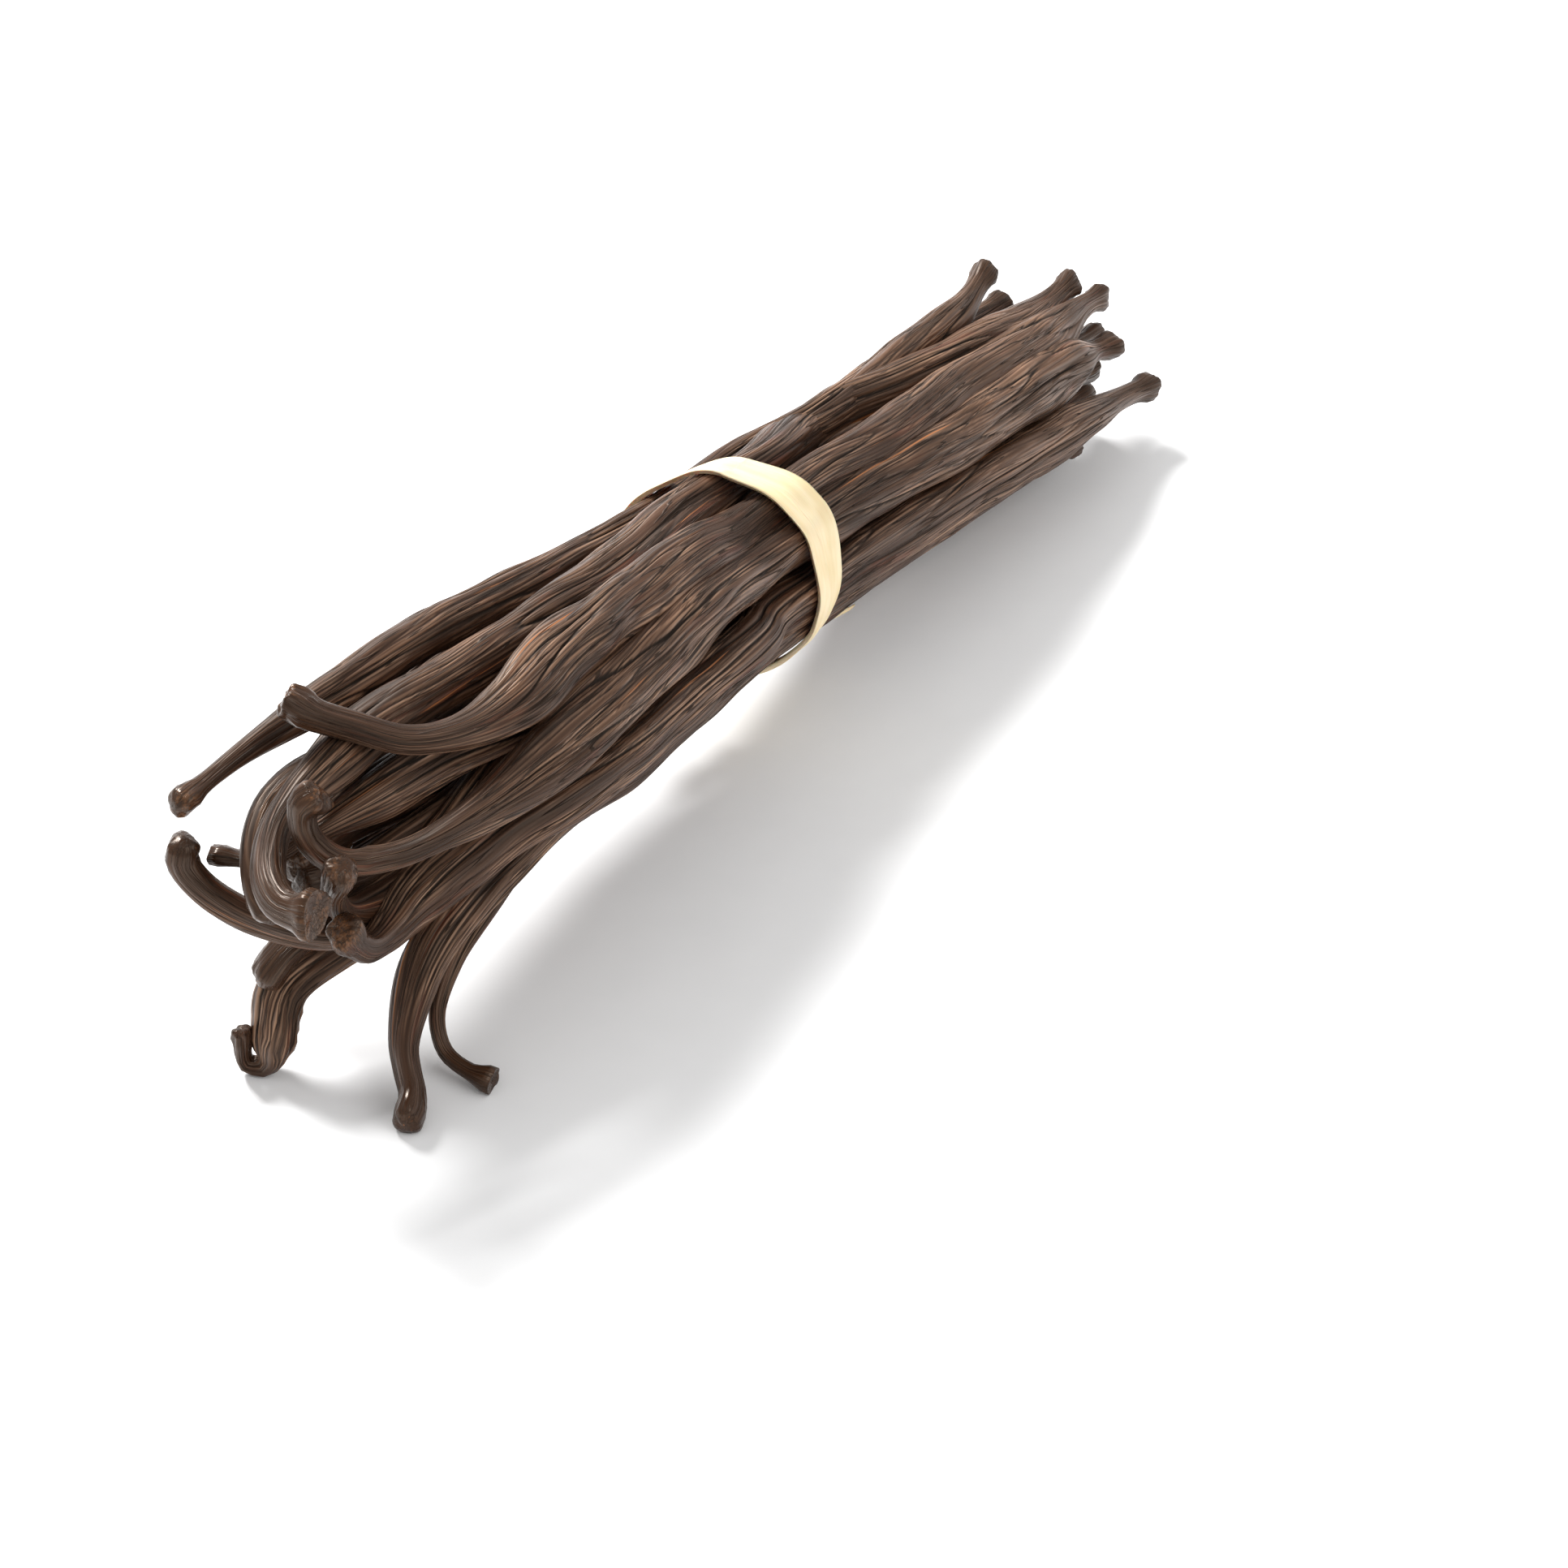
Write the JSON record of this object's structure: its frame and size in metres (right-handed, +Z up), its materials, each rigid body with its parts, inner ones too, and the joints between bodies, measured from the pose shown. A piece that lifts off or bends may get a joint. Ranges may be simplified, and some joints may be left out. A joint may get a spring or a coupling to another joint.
{
  "type": "bundle of vanilla pods",
  "caption": "Cured vanilla pods tied round the middle with a strip of raffia, with curled stalk ends and thin, straight blossom tips.",
  "frame": {"origin": "middle of the bundle's bounding box at table height", "axes": "+X along the bundle towards the blossom tips, +Y across it, +Z up"},
  "size_m": [0.1947, 0.0352, 0.047],
  "materials": {
    "vanilla_skin": "cured pod skin, near-black brown, wrinkled lengthwise, slightly oily",
    "raffia": "dry raffia leaf strip, pale straw, fine parallel fibres"
  },
  "bodies": {
    "root": {"pods": "vanilla_skin", "raffia_tie": "raffia"}
  },
  "joints": []
}
